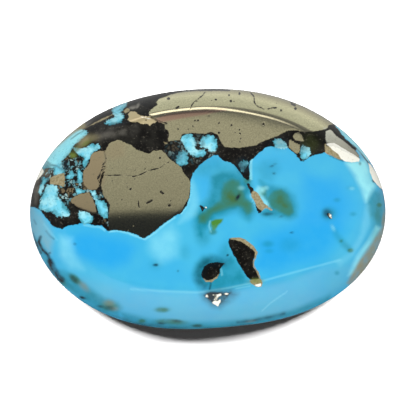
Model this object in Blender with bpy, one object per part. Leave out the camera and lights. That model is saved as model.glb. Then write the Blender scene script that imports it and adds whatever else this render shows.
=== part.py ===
"""An oval turquoise cabochon: a polished stone with a low domed table, a rounded shoulder
ground all round it, a narrow girdle and a flat back with a small bevel.

The stone lies on its back. +Z is up, X runs along its length and Y across it.
The origin is on the underside, below the middle of the oval.
"""

import math

import bmesh
import bpy

MM = 0.001

# The stone's overall size.
LENGTH = 30.0 * MM
WIDTH = 20.6 * MM
HEIGHT = 5.2 * MM

# How the hand-ground oval departs from a true ellipse: the number of waves around the
# girdle, then the share of the radius that their cosine and their sine add.
OVAL_WAVES = (
    (1, -0.007, -0.007),
    (2, 0.005, 0.010),
    (3, 0.004, -0.011),
    (4, -0.009, -0.004),
)

# The back: a flat face, and the bevel that runs from it up to the girdle.
BACK_INSET = 0.9 * MM
BACK_BEVEL_HEIGHT = 0.8 * MM
GIRDLE_HEIGHT = 0.5 * MM
GIRDLE_BULGE = 0.06 * MM

# The shoulder between the girdle and the table. Its width, seen from above, differs
# on the four sides, because it was ground by hand. In section it is an arc, whose slope
# eases from the foot angle to the top angle.
SHOULDER_RISE = 2.7 * MM
SHOULDER_WIDTH_EAST = 1.9 * MM
SHOULDER_WIDTH_NORTH = 2.0 * MM
SHOULDER_WIDTH_WEST = 2.2 * MM
SHOULDER_WIDTH_SOUTH = 2.6 * MM
SHOULDER_FOOT_ANGLE = math.radians(76)
SHOULDER_TOP_ANGLE = math.radians(40)

# Where the shoulder turns over onto the table, inwards from the shoulder's upper edge.
CREASE_WIDTH = 0.7 * MM

# How finely the surface is divided.
AROUND = 108
BACK_RINGS = 3
BEVEL_RINGS = 2
GIRDLE_RINGS = 4
SHOULDER_RINGS = 9
CREASE_RINGS = 5
TABLE_RINGS = 6

TURQUOISE_COLOUR = (0.07, 0.42, 0.72, 1.0)
TURQUOISE_ROUGHNESS = 0.22

GIRDLE_FOOT = BACK_BEVEL_HEIGHT
GIRDLE_TOP = BACK_BEVEL_HEIGHT + GIRDLE_HEIGHT
SHOULDER_TOP = GIRDLE_TOP + SHOULDER_RISE
ARC_ACROSS = math.sin(SHOULDER_FOOT_ANGLE) - math.sin(SHOULDER_TOP_ANGLE)
ARC_UP = math.cos(SHOULDER_TOP_ANGLE) - math.cos(SHOULDER_FOOT_ANGLE)


def oval_radius(angle):
    """The girdle's radius at an angle around the stone, before it is scaled to size."""
    ellipse = 1.0 / math.hypot(math.cos(angle) / (LENGTH / 2), math.sin(angle) / (WIDTH / 2))
    waves = sum(c * math.cos(n * angle) + s * math.sin(n * angle) for n, c, s in OVAL_WAVES)
    return ellipse * (1.0 + waves)


def girdle_outline():
    """The girdle's points, counterclockwise from +X, scaled to the stone's length and width."""
    angles = [math.tau * i / AROUND for i in range(AROUND)]
    points = [(oval_radius(a) * math.cos(a), oval_radius(a) * math.sin(a)) for a in angles]
    low_x, high_x = min(p[0] for p in points), max(p[0] for p in points)
    low_y, high_y = min(p[1] for p in points), max(p[1] for p in points)
    reach_x = LENGTH / 2 - GIRDLE_BULGE
    reach_y = WIDTH / 2 - GIRDLE_BULGE
    return [
        (
            reach_x * (2 * (x - low_x) / (high_x - low_x) - 1),
            reach_y * (2 * (y - low_y) / (high_y - low_y) - 1),
        )
        for x, y in points
    ]


def inward_normals(outline):
    """The unit direction that points into the stone at each point of the outline."""
    normals = []
    for i in range(len(outline)):
        before, after = outline[i - 1], outline[(i + 1) % len(outline)]
        along_x, along_y = after[0] - before[0], after[1] - before[1]
        length = math.hypot(along_x, along_y)
        normals.append((-along_y / length, along_x / length))
    return normals


def shoulder_width(normal):
    """The shoulder's width where the inward direction is normal, blended from the four sides."""
    out_x, out_y = -normal[0], -normal[1]
    width_x = SHOULDER_WIDTH_EAST if out_x > 0 else SHOULDER_WIDTH_WEST
    width_y = SHOULDER_WIDTH_NORTH if out_y > 0 else SHOULDER_WIDTH_SOUTH
    return width_x * out_x * out_x + width_y * out_y * out_y


def inset_ring(outline, normals, insets, heights):
    """One ring of points: the outline moved inwards by insets, at its heights."""
    return [
        (x + nx * inset, y + ny * inset, height)
        for (x, y), (nx, ny), inset, height in zip(outline, normals, insets, heights)
    ]


def level_ring(outline, normals, inset, height):
    """A ring with one inset and one height all round."""
    return inset_ring(outline, normals, [inset] * AROUND, [height] * AROUND)


def shoulder_section(share):
    """How far in and how far up the shoulder has come, each as a share of the whole, along its arc."""
    angle = SHOULDER_FOOT_ANGLE + (SHOULDER_TOP_ANGLE - SHOULDER_FOOT_ANGLE) * share
    across = (math.sin(SHOULDER_FOOT_ANGLE) - math.sin(angle)) / ARC_ACROSS
    up = (math.cos(angle) - math.cos(SHOULDER_FOOT_ANGLE)) / ARC_UP
    return across, up


def shoulder_top_slope(width):
    """The slope at the upper edge of a shoulder of this width."""
    return math.tan(SHOULDER_TOP_ANGLE) * (SHOULDER_RISE / width) * (ARC_ACROSS / ARC_UP)


def table_edge_height(width, table_radius):
    """The height at which the crease meets the dome of the table with the same slope."""
    half_turn = CREASE_WIDTH * shoulder_top_slope(width) / 2
    lean = CREASE_WIDTH / table_radius
    return (SHOULDER_TOP + half_turn + HEIGHT * lean) / (1 + lean)


def crease_height(share, width, table_radius):
    """The height at a share of the way over the crease, as its slope eases into the table's."""
    edge_height = table_edge_height(width, table_radius)
    start = shoulder_top_slope(width)
    end = 2 * (HEIGHT - edge_height) / table_radius
    return SHOULDER_TOP + CREASE_WIDTH * (start * share + (end - start) * share * share / 2)


def back_rings(outline, normals):
    """The flat back, and its bevel up to the girdle's foot."""
    foot = level_ring(outline, normals, BACK_INSET, 0.0)
    rings = []
    for i in range(1, BACK_RINGS + 1):
        share = i / BACK_RINGS
        rings.append([(x * share, y * share, 0.0) for x, y, _ in foot])
    for i in range(1, BEVEL_RINGS):
        share = i / BEVEL_RINGS
        rings.append(level_ring(outline, normals, BACK_INSET * (1 - share), GIRDLE_FOOT * share))
    return rings


def side_rings(outline, normals, widths):
    """The slightly bulging girdle, and the shoulder above it."""
    rings = []
    for i in range(GIRDLE_RINGS + 1):
        share = i / GIRDLE_RINGS
        bulge = GIRDLE_BULGE * math.sin(math.pi * share)
        rings.append(level_ring(outline, normals, -bulge, GIRDLE_FOOT + GIRDLE_HEIGHT * share))
    for i in range(1, SHOULDER_RINGS + 1):
        across, up = shoulder_section(i / SHOULDER_RINGS)
        insets = [width * across for width in widths]
        rings.append(inset_ring(outline, normals, insets, [GIRDLE_TOP + SHOULDER_RISE * up] * AROUND))
    return rings


def table_rings(outline, normals, widths):
    """The crease at the top of the shoulder, and the dome of the table inside it."""
    rings = []
    table_outline = [
        (x + nx * (width + CREASE_WIDTH), y + ny * (width + CREASE_WIDTH))
        for (x, y), (nx, ny), width in zip(outline, normals, widths)
    ]
    radii = [math.hypot(x, y) for x, y in table_outline]
    for i in range(1, CREASE_RINGS + 1):
        share = i / CREASE_RINGS
        insets = [width + CREASE_WIDTH * share for width in widths]
        heights = [crease_height(share, width, radius) for width, radius in zip(widths, radii)]
        rings.append(inset_ring(outline, normals, insets, heights))
    edge = rings[-1]
    for i in range(1, TABLE_RINGS):
        share = 1 - i / TABLE_RINGS
        rings.append([(x * share, y * share, HEIGHT - (HEIGHT - z) * share * share) for x, y, z in edge])
    return rings


def stone_rings():
    """The rings of the stone's surface, from the middle of the back up to the middle of the table."""
    outline = girdle_outline()
    normals = inward_normals(outline)
    widths = [shoulder_width(normal) for normal in normals]
    return [
        *back_rings(outline, normals),
        *side_rings(outline, normals, widths),
        *table_rings(outline, normals, widths),
    ]


def stone_mesh():
    """The closed surface through the rings, with a fan over the middle of the back and of the table."""
    mesh = bmesh.new()
    rings = [[mesh.verts.new(point) for point in ring] for ring in stone_rings()]
    for lower, upper in zip(rings, rings[1:]):
        for i in range(AROUND):
            j = (i + 1) % AROUND
            mesh.faces.new((lower[i], lower[j], upper[j], upper[i]))
    middle_of_back = mesh.verts.new((0.0, 0.0, 0.0))
    middle_of_table = mesh.verts.new((0.0, 0.0, HEIGHT))
    for i in range(AROUND):
        j = (i + 1) % AROUND
        mesh.faces.new((middle_of_back, rings[0][j], rings[0][i]))
        mesh.faces.new((middle_of_table, rings[-1][i], rings[-1][j]))
    made = bpy.data.meshes.new("turquoise_cabochon")
    mesh.to_mesh(made)
    mesh.free()
    made.shade_smooth()
    made.set_sharp_from_angle(angle=math.radians(40))
    return made


def turquoise_material():
    """Polished turquoise."""
    material = bpy.data.materials.new("turquoise")
    material.use_nodes = True
    shader = material.node_tree.nodes["Principled BSDF"]
    shader.inputs["Base Color"].default_value = TURQUOISE_COLOUR
    shader.inputs["Roughness"].default_value = TURQUOISE_ROUGHNESS
    shader.inputs["Metallic"].default_value = 0.0
    return material


def main():
    for leftover in list(bpy.data.objects):
        bpy.data.objects.remove(leftover)
    stone = bpy.data.objects.new("turquoise_cabochon", stone_mesh())
    stone.data.materials.append(turquoise_material())
    bpy.context.scene.collection.objects.link(stone)


main()
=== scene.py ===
"""The looks of the oval turquoise cabochon: its fine surface, its markings and a plain studio.

The markings are outlines drawn over the photograph, whose frame is 416 by 416 pixels,
so every place in them is a pixel of that frame, x to the right and y down, and an outline is
a row of such places, x and y in turn. Each point of the stone's surface is seen through the
camera to find its own pixel, and how far that lies inside each kind of marking becomes an
attribute of the surface, in millimetres. The material turns those distances into edges. The
underside, which the photograph doesn't show, carries the same bodies of mineral on through the
stone, bent on the way.
"""

import math

import bpy
import numpy as np
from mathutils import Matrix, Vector, noise


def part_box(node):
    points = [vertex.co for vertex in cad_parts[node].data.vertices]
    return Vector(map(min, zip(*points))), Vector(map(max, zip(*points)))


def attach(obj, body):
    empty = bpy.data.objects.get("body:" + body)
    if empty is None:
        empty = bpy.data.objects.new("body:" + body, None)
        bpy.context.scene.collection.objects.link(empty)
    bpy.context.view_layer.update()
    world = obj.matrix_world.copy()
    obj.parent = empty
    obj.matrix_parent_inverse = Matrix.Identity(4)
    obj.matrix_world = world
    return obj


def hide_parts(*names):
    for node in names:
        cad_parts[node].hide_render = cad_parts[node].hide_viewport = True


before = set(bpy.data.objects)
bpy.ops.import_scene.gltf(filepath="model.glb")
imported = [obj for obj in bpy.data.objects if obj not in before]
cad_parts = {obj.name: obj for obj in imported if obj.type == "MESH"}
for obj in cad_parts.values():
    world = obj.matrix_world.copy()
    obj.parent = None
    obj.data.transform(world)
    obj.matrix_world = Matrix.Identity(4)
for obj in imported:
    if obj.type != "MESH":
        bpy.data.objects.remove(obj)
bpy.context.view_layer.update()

MM = 0.001
NODE = "turquoise_cabochon"
NODE_LOW, NODE_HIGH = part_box(NODE)

# The stone's form, as its solid has it.
LENGTH = NODE_HIGH.x - NODE_LOW.x
WIDTH = NODE_HIGH.y - NODE_LOW.y
HEIGHT = NODE_HIGH.z - NODE_LOW.z
OVAL_WAVES = (
    (1, -0.007, -0.007),
    (2, 0.005, 0.010),
    (3, 0.004, -0.011),
    (4, -0.009, -0.004),
)
BACK_INSET = 0.9 * MM
BACK_BEVEL_HEIGHT = 0.8 * MM
GIRDLE_HEIGHT = 0.5 * MM
GIRDLE_BULGE = 0.06 * MM
SHOULDER_RISE = 2.7 * MM
SHOULDER_WIDTH_EAST = 1.9 * MM
SHOULDER_WIDTH_NORTH = 2.0 * MM
SHOULDER_WIDTH_WEST = 2.2 * MM
SHOULDER_WIDTH_SOUTH = 2.6 * MM
SHOULDER_FOOT_ANGLE = math.radians(76)
SHOULDER_TOP_ANGLE = math.radians(40)
CREASE_WIDTH = 0.7 * MM
GIRDLE_TOP = BACK_BEVEL_HEIGHT + GIRDLE_HEIGHT
SHOULDER_TOP = GIRDLE_TOP + SHOULDER_RISE
ARC_ACROSS = math.sin(SHOULDER_FOOT_ANGLE) - math.sin(SHOULDER_TOP_ANGLE)
ARC_UP = math.cos(SHOULDER_TOP_ANGLE) - math.cos(SHOULDER_FOOT_ANGLE)

# How finely the surface is divided: rings from the middle of the crown out to the girdle,
# each with eight more points than the one inside it.
TABLE_RINGS = 86
CREASE_RINGS = 12
SHOULDER_RINGS = 30
CROWN_RINGS = TABLE_RINGS + CREASE_RINGS + SHOULDER_RINGS
GIRDLE_RINGS = 4
BEVEL_RINGS = 5
BACK_RINGS = CROWN_RINGS // 2
AROUND = 8 * CROWN_RINGS

# The photograph's frame, and the camera that gives its view of the stone.
FRAME_PIXELS = 416
STONE_PIXELS = 355.5
PIXEL = LENGTH / STONE_PIXELS
PIXEL_MM = PIXEL / MM
CAMERA_ELEVATION = math.radians(80)
CAMERA_LENS = 200.0
CAMERA_SENSOR = 36.0
CAMERA_CLIP = (0.01, 20.0)
CAMERA_DISTANCE = PIXEL * FRAME_PIXELS * CAMERA_LENS / CAMERA_SENSOR
CAMERA_AIM = Vector((0.02, -0.02, 1.05)) * MM
CAMERA_BACK = Vector((0.0, -math.cos(CAMERA_ELEVATION), math.sin(CAMERA_ELEVATION)))
CAMERA_UP = Vector((0.0, math.sin(CAMERA_ELEVATION), math.cos(CAMERA_ELEVATION)))
CAMERA_PLACE = CAMERA_AIM + CAMERA_BACK * CAMERA_DISTANCE

# Below the girdle the minerals' bodies bend away from the line of sight: how many pixels of
# drift the noise gives at the back, the size of its features, and the seed without which the
# noise would start from the clock and bend them differently in each run.
UNDERSIDE_BEND = 34.0
UNDERSIDE_BEND_SIZE = 7.0 * MM
UNDERSIDE_SEED = 1795862174

# The dark matrix: the whole upper left, and the band under the upper pyrite; and the bean and the
# round, pyrite inclusions painted black as a painted dark reflection.
MATRIX_AND_DARK_PYRITE_AREAS = {
    "upper left": (
        10, 205, 33, 207, 40, 210, 46, 218, 54, 227, 62, 229, 67, 226, 81, 223.5, 89, 223.5, 94, 225.5,
        102, 225.5, 107, 231, 117, 230, 128, 232, 138, 235.5, 144, 238.5, 154, 232, 165, 222.5,
        174, 216.5, 181, 213, 187, 205, 190, 195, 190, 183, 193, 173, 200, 165, 209, 158, 213, 155.5,
        218, 155, 222, 160, 232, 163, 239, 171, 244, 178, 249, 181, 250, 175, 249, 168, 250, 161,
        257, 155, 265, 148, 270, 146.5, 288, 148, 296, 155, 301, 161, 304, 161, 312, 155.5, 328, 152,
        329, 140, 332, 133, 336, 122, 320, 60, 10, 60),
    "right wedge": (
        327, 127, 331, 124.5, 334, 123, 336, 127, 340, 131.5, 345, 138, 352, 144.5, 357, 148.5,
        355, 152, 347, 147, 341, 142, 335, 139, 331, 135, 328, 131),
    "stem": (246.5, 184, 248.5, 182.5, 251, 186, 254, 189.5, 252.5, 193.5, 251, 193.5),
    # Painted dark reflection: a pyrite inclusion painted black.
    "bean": (
        229, 238.5, 234, 238, 240, 238.3, 245, 240.8, 250, 244.6, 256, 250.8, 256.5, 256, 253, 261,
        253.5, 267, 257, 271.5, 259, 276, 260, 280, 250, 280, 244.5, 273.5, 239.5, 265, 235.5, 258.5,
        231, 250.5, 228.5, 243),
    # Painted dark reflection: a pyrite inclusion painted black.
    "round": (
        204, 266, 209, 263, 216.5, 262, 224.5, 263.5, 222, 267, 220, 269.5, 220.5, 273, 216.5, 278,
        211, 281, 207, 281, 202.5, 278, 201, 275),
    "small bite": (198.5, 205.5, 201, 204.5, 204, 207, 207, 208.5, 204, 209.5, 202, 211.5, 200.5, 208),
    "triangle foot": (254, 203, 258, 207, 262.5, 210.5, 261, 213, 258.5, 213, 256, 208),
    "speck": (326, 212, 329, 213, 332, 217, 332, 219.5, 329.5, 218.5, 327, 215),
}

# Turquoise of the fine-grained bright kind, in patches on the matrix.
CYAN_AREAS = {
    "upper shoulder": (
        85, 130, 88, 134, 81, 140, 73, 146, 70, 152, 66, 157, 62, 161, 63, 167, 65, 172, 60, 175,
        57, 177, 54, 174, 53, 168, 48, 168, 42, 169, 41, 160, 48, 150, 60, 140.5, 67, 135, 74, 130,
        79, 129),
    "upper tongue": (
        73, 147, 80, 148.5, 87, 148, 92, 144, 99, 144.5, 100, 148, 95, 151.5, 91, 156, 88, 162, 87, 166,
        84, 168, 82, 164, 84, 158, 80, 156, 76, 152),
    "crescent": (70, 170, 73, 171, 74, 176, 71, 179, 67, 179, 65, 177, 68, 175, 70, 173),
    "column": (78, 168, 81, 170, 82, 175, 82, 183, 80, 186, 78, 182, 77, 176),
    "left": (
        47, 185, 52, 184, 57, 186, 58, 190, 58, 196, 62, 201, 67, 208, 70, 213, 69, 216, 64, 217,
        57, 216, 53, 213, 50, 211, 45, 212, 39, 209, 41, 198, 43, 194, 45, 189),
    "left strip": (43, 178, 47, 177, 46, 183, 43, 189, 41, 195, 39, 194, 39, 190, 41, 184),
    "lower": (79, 211, 89, 212, 92, 216, 94, 218, 92, 222, 84, 225, 80, 222, 78, 217),
    "filament": (
        89, 190, 95, 191, 97, 196, 98, 200, 104, 200.5, 108, 209, 107.5, 218, 103, 218, 100, 214.5,
        97.5, 210.5, 96, 203.5, 93, 198, 91, 193),
    "bridge": (76, 189, 80, 189, 86, 190, 86, 192, 82, 193, 77, 195, 76, 192),
    "tongue": (
        112, 108, 116, 105, 122, 103, 127, 101, 126, 106, 123, 109, 121, 112, 123, 115, 124, 119,
        122, 122, 117, 124, 110, 125, 104, 124, 106, 121, 111, 119, 115, 116, 113, 114, 112, 111),
    "left lobe": (
        182, 137, 184, 134.5, 192, 134.5, 194, 138, 196, 143, 195, 147, 199, 150, 204, 150, 206, 152,
        203, 157, 197, 157, 191, 155, 188, 151, 184, 145, 181, 140),
    "right lobe": (
        203, 136, 208, 135, 213, 136, 216, 140, 218, 146, 216, 149, 215, 152, 211, 152, 207, 149,
        204, 147, 201, 147, 200, 143, 201, 139),
    "teal lobe": (
        176, 156, 179, 152, 183, 150, 186, 151, 187, 154, 188, 160, 187, 164, 184, 166, 179, 166,
        176, 163, 177, 160),
    "cap": (273, 141, 276, 139, 280, 138.5, 283, 141, 286, 143, 288, 148, 282, 149, 275, 148),
    "right drop": (
        301, 147, 303, 145, 306, 147, 309, 148, 311, 152, 309, 157, 306, 159, 303, 160, 301, 157,
        300, 152),
    "small lobe": (238, 165, 240, 162, 244, 160, 248, 161, 248.5, 164, 246, 168, 243, 172, 240, 169),
}

# Pyrite.
PYRITE_AREAS = {
    "upper band": (
        192, 80, 189, 90.5, 175, 93.5, 166, 96.5, 160, 98, 156, 102, 158, 104.5, 151, 109.5, 149, 113,
        149.5, 116, 154, 118.5, 159, 121.5, 165, 124, 165, 128, 168, 131, 169, 134, 168, 141, 180, 140,
        182, 134, 193, 132.5, 205, 134, 211, 131.5, 218, 135, 221, 142, 225, 147, 240, 148, 256, 145,
        266, 140, 277, 136, 286, 131, 295, 130, 305, 132, 318, 130.5, 326, 129, 329, 125, 333, 124,
        335, 121, 335, 70),
    "big patch": (
        105, 151, 109, 144, 112, 142, 119, 139.5, 127, 144, 131, 145, 137, 150, 149, 154, 153, 151,
        161, 150, 166, 154, 171, 160, 181, 167, 184, 173, 190, 181, 190, 186, 189, 197, 186, 203,
        183, 208, 180, 212, 173, 216, 164, 222, 154, 231, 144, 237, 134, 233, 118, 229, 110, 230,
        108, 222, 110, 205, 107, 200, 104, 197, 102, 190, 101, 184, 103, 178, 105, 168, 106, 158),
    "left lobe": (
        104, 151, 98, 151, 94, 152, 91, 155, 90, 163, 84, 170, 83, 175, 83, 180, 84, 185, 88, 189,
        92, 190, 97, 189, 99, 186, 100, 178, 104, 168, 105, 158),
    "small lower": (
        71, 199, 75, 196, 80, 194, 89, 192, 93, 199, 95, 205, 97, 213, 93, 214, 88, 212, 80, 208,
        76, 206, 71, 202),
    "gold": (
        128, 114, 130, 111, 135, 111.5, 139, 115, 148, 116.5, 154, 119.5, 156.5, 122, 151, 124,
        150, 126.5, 148.5, 124, 141, 123.5, 138, 121.5, 133, 122.5, 127, 120.5, 129, 117),
    "right upper grain": (293, 136, 295, 133, 298, 132, 301, 134, 304, 141, 300, 141, 295, 140),
    "right lower grain": (
        289, 141, 291, 139, 294, 142, 297, 144, 300, 144, 300, 150, 298, 154, 295, 153, 289, 147),
    "grey wedge": (
        326, 131, 331, 130, 337, 136.5, 345, 142, 353, 148.5, 358, 154, 360, 159, 350, 154, 342, 150,
        334, 146, 327, 146, 325.5, 138),
}

# Dull tan rock, as rims and slivers beside the pyrite, and a pale line painted as a highlight on
# the upper left rim.
ROCK_AND_GLINT_AREAS = {
    "small upper": (123, 111, 127, 108, 130, 109, 129, 112, 125, 113),
    "triangle": (
        251.5, 192.5, 254, 190.5, 257.5, 192.5, 261, 198, 264.5, 204, 268, 206, 273, 210, 271.5, 211,
        266, 207.5, 264, 209, 262, 211.5, 258, 208, 254, 201, 251.5, 196),
    "brown patch": (58, 174, 64, 173, 65, 178, 64, 187, 58, 185, 50, 184, 50, 178),
    "khaki wedge": (325, 144, 328, 144, 333, 149, 338, 153, 343, 160, 338, 159, 332, 156, 325, 153),
    "bean rim": (
        229, 239, 233, 237.5, 240, 237.5, 245, 239.5, 250, 243, 254, 246.5, 257.5, 252, 256, 258,
        254, 261.5, 254.3, 266.5, 258, 271.2, 260.3, 276, 261, 280, 259.6, 280, 256.8, 272, 253.2, 267,
        253, 261, 254.6, 256.5, 255.2, 252.5, 250.6, 248.3, 245, 243.8, 240, 241, 234, 239.8),
    "bean foot": (249, 280.5, 252, 279.5, 260.5, 279, 262.5, 283, 261, 287, 257, 287, 252, 284),
    # Painted highlight: a thin pale line on the upper left rim.
    "upper left line": (
        85, 128, 92, 124, 100, 119.6, 107, 116.4, 113.5, 114, 107, 118, 100, 121.4, 92, 125),
    "light speck": (163.5, 141.5, 167, 142.5, 168, 144, 165, 144),
    "round rim": (203, 278, 207, 280.5, 212, 279.5, 217, 276, 220, 272, 217, 278, 212, 282, 206, 282),
}

# Pyrite painted pale cream: pale bits, and on the right flake and the gold light a painted
# highlight where flakes that lean another way catch the light.
CREAM_AND_GLINT_AREAS = {
    # Painted highlight on a flake at the crease.
    "right flake": (
        326.5, 144, 330, 143, 334, 143, 343, 148, 353, 154, 360, 158.5, 359, 161.5, 352, 162.5,
        345, 161.5, 341, 158.5, 338, 154, 332, 149.5),
    "right rim": (368.5, 163, 371, 165, 376, 172, 380, 180, 385, 191, 379, 187, 373, 180, 370, 172),
    "left rim": (40, 165, 44, 171, 41, 176, 35, 182, 33, 176),
    # Painted highlight on the gold.
    "gold light": (140.5, 116.4, 146, 117.3, 153, 119.8, 153.5, 120.5, 147, 118.5, 141, 117.2),
    "speck": (329, 213, 330.6, 213.5, 332.3, 218, 331, 218.5, 329, 216),
    "bean tip": (254, 285, 257, 284.5, 261, 283.5, 261, 286.5, 258, 287),
    "triangle top": (212.5, 294.5, 216, 295, 221, 293.5, 222, 295.5, 218, 296.5, 213.5, 296),
    "triangle left": (205, 296, 207, 294.5, 208.5, 297, 206, 297.5),
    "triangle middle": (214, 298, 218, 297.5, 217, 299.5, 214, 299.5),
    "triangle foot": (211.5, 303, 214, 301, 217.5, 301, 220.5, 299, 221, 301.5, 218, 306.5, 216, 305),
    "triangle right": (223.5, 293, 226.5, 293, 229.5, 294.5, 227, 295, 224, 294),
    "bite light": (204, 206, 207, 207, 207, 208.5, 205, 208),
}

# Cracks in the pyrite and thin dark veins, and a dark reflection painted along the top rim:
# their points, then half their width.
CRACKS_AND_DARK_RIM = {
    "big patch": (
        (98, 179, 101, 176, 104, 175, 110, 175.5, 122, 175, 133, 176.5, 138, 175.5, 145, 172.5,
         148, 170.5, 158, 168.5, 162, 166, 169, 162), 0.3),
    "left lobe": (
        (104, 151, 105, 156, 106, 160, 103, 165, 102, 170, 98, 178, 99, 184, 101, 186, 99, 190, 99, 195,
         101, 202), 0.6),
    "upper left": ((190, 110, 192, 105, 194, 102, 198, 99, 203, 95, 205, 92), 0.15),
    "upper right": ((250, 92, 254, 96.7, 254.4, 103, 257.6, 106.3, 264, 109), 0.25),
    "upper broken": ((268, 109, 272, 108, 276.5, 107.5), 0.4),
    # Painted dark reflection along the top rim, not a crack.
    "upper outline": ((126, 102.5, 150, 95.3, 170, 91.7, 190, 90, 213, 89.4, 229, 89.8), 1.1),
    "beside the gold": ((149.5, 115.5, 154, 118.5, 159, 121.5, 163, 123.2, 167, 123.5), 0.6),
    "below round": ((211, 281, 210.5, 285, 209.5, 289), 0.5),
    "beside the lobe": ((105, 153, 106.5, 158, 104.5, 164, 105, 170), 0.3),
    "left strip edge": ((48, 178, 46, 185, 43, 191, 41, 197), 0.7),
    "thumb": ((152, 200.5, 147, 203), 0.9),
    "hook": ((138.5, 201, 138.5, 205, 140, 208), 0.5),
    "notch": ((291, 101.5, 292, 104, 295, 105.3), 0.8),
    "upper diagonal": ((176.5, 108, 178.5, 107), 0.8),
    "right diagonal": ((161, 191.5, 163.5, 193.5), 1.0),
    "right outline": ((353, 144, 360, 152, 367, 162), 0.45),
}

# Pits: their place, then their radius.
PITS = (
    (130.5, 189, 1.4), (127, 183.5, 0.8), (112, 181, 0.7), (135, 179, 0.6), (118.5, 162.5, 0.9),
    (112, 168, 0.6), (145, 169, 0.7), (144.5, 173, 0.9), (169.5, 205.5, 1.3), (182, 182.5, 0.9),
    (167, 180, 0.6), (160, 158, 0.7), (145.5, 162, 0.5), (135, 170, 0.5), (122, 200, 0.5),
    (171, 201, 0.6), (182, 189, 0.5), (168.5, 98.5, 1.2), (231, 101, 1.0), (229, 95, 0.6),
    (239.5, 93.5, 0.9), (216, 99.5, 0.7), (263.5, 124, 1.3), (219, 123, 0.6), (231.5, 125, 0.9),
    (209, 115.5, 0.6), (198, 120.5, 0.8), (195, 120.5, 0.6), (193, 126, 0.5), (178, 129, 0.6),
    (188, 129.5, 0.6), (219, 132.5, 1.0), (239.5, 129.5, 0.7), (240, 133.5, 0.6), (235, 132.5, 0.5),
    (241, 138.5, 0.7), (256, 137, 0.6), (240, 142, 0.6), (295.5, 108.5, 1.0), (281, 110.5, 0.7),
)

# Soft marks: stains, and light and shade painted into the colour. An area has its corners, how
# many pixels it fades over on each side, and its strength. A line has its points, half its width,
# its fade and its strength. A spot has x, y, half its length, half its width, its turn in degrees
# and its strength.
TEAL_AREAS = {
    "middle lobe": (
        (211, 176, 222, 171, 234, 171, 244, 174, 249, 179, 251, 190, 248, 196, 253, 204, 255, 212,
         249, 220, 243, 216, 237, 211, 230, 212, 222, 215, 216, 217, 211, 224, 206, 232, 203, 240,
         197, 236, 194, 226, 196, 214, 202, 206, 209, 198, 211, 188), 6, 0.95),
    "right lobe": (
        (260, 180, 268, 184, 276, 187, 286, 189, 294, 196, 297, 206, 296, 216, 290, 219, 280, 217,
         270, 217, 262, 214, 266, 206, 268, 198, 262, 190), 5, 0.85),
    "right lobe top": ((256, 168, 264, 162, 276, 161, 279, 168, 272, 182, 262, 180), 6, 0.4),
    "between inclusions": (
        (224, 258, 232, 254, 240, 264, 247, 276, 250, 283, 240, 287, 226, 290, 210, 291, 204, 285,
         210, 278, 218, 268), 6, 0.8),
    "round halo": (
        (197, 264, 204, 257, 222, 256, 230, 262, 224, 276, 210, 288, 199, 286, 194, 275), 6, 0.9),
    "left of bean": ((214, 262, 220, 250, 226, 242, 232, 250, 240, 264, 228, 268), 6, 0.45),
    "right edge": (
        (366, 198, 372, 190, 381, 192, 386, 200, 387, 226, 380, 228, 374, 220, 368, 210), 4, 0.55),
    "right foot": ((372, 222, 384, 222, 376, 240, 366, 254, 361, 258, 362, 246, 368, 234), 4, 0.25),
    "left foot": (
        (58, 270, 66, 272, 76, 278, 90, 288, 104, 298, 118, 303, 122, 308, 118, 316, 108, 314, 92, 306,
         76, 295, 60, 284), 4, 0.75),
    "left rim": ((33, 236, 40, 240, 48, 254, 56, 268, 64, 282, 54, 280, 42, 262, 33, 244), 3, 0.5),
    "trail": ((331, 224, 336, 230, 344, 240, 353, 249, 350, 253, 341, 246, 334, 236), 3, 0.45),
    # Darker teal along the bottom edge.
    "foot": (
        (120, 312, 150, 319, 180, 322.5, 215, 323, 250, 319, 290, 311, 330, 295, 330, 302, 290, 318,
         240, 330, 180, 332, 130, 326), 3.5, 0.6),
}
TEAL_SPOTS = (
    (203, 236, 7, 9, 0, 0.5), (267, 213, 6, 4, 0, 0.8), (214, 168, 24, 11, 12, 0.4),
    (329, 214, 7, 6, 0, 0.6), (268, 244, 5, 3, 0, 0.45), (269, 251, 4, 2, 0, 0.3),
    (337, 200, 3, 2, 0, 0.4), (353, 214, 3, 2, 0, 0.4), (351, 188, 4, 2, 0, 0.3),
    (337, 273, 2, 2, 0, 0.5), (290, 245, 9, 7, 0, 0.25), (185, 252, 5, 7, 0, 0.25),
    (155.5, 265, 6, 5, 0, 0.25), (162, 309, 8, 3, 0, 0.3), (62, 224, 8, 2, -10, 0.6),
    (76, 221, 4, 2, 30, 0.8),
)
GREEN_AREAS = {
    "middle core": (
        (226, 191, 231, 187, 236, 190, 240, 196, 240, 203, 234, 205, 226, 203, 222, 199), 7, 0.9),
    "middle": (
        (224, 183, 232, 179, 239, 181, 242, 190, 245, 198, 252, 203, 253, 211, 247, 215, 243, 208,
         237, 206, 230, 207, 222, 210, 213, 213, 206, 223, 199, 223, 199, 216, 205, 211, 213, 206,
         220, 200, 222, 191), 4, 0.62),
    "right core": (
        (273, 203, 276, 195, 281, 192.5, 286, 197, 290, 204, 290, 210, 284, 210, 277, 206), 6, 0.85),
    "right": (
        (262, 187, 266, 190, 268, 196, 273, 191.5, 281, 189, 288, 194, 292, 202, 294, 212, 289, 216,
         281, 213, 273, 209, 268, 202, 262, 196), 3, 0.5),
}
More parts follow.
